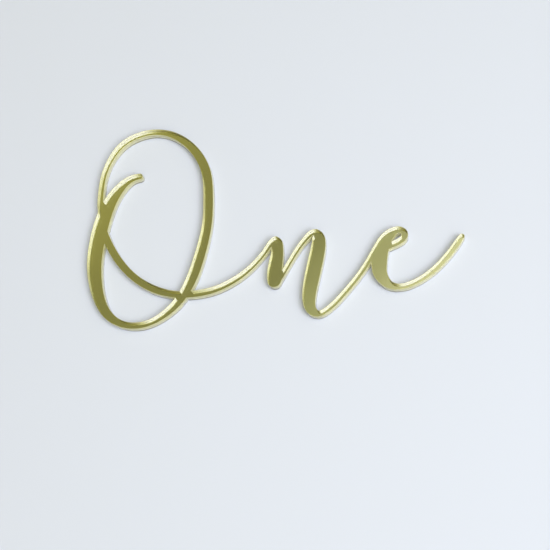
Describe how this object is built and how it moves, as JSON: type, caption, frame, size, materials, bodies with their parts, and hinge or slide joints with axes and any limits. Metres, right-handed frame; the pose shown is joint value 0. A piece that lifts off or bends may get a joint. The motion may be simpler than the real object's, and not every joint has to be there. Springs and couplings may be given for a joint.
{
  "type": "cake topper",
  "caption": "Flat cake topper: a number word in joined script, cut to one outline from gold mirror acrylic with a tinted clear face, metal mirror coat and painted back.",
  "frame": {"origin": "under the middle of the outline's box, on the plane that the painted back rests on", "axes": "+X along the word as it is read, +Y up the letters, +Z out of the mirror face"},
  "size_m": [0.151, 0.0882, 0.003],
  "materials": {
    "tinted_acrylic": "lightly gold-tinted clear acrylic with polished face and laser-cut edges",
    "mirror_metal": "gold-toned vacuum-deposited mirror film",
    "back_lacquer": "grey protective back paint, satin"
  },
  "bodies": {
    "root": {"face_sheet": "tinted_acrylic", "mirror_coat": "mirror_metal", "back_paint": "back_lacquer"}
  },
  "joints": []
}
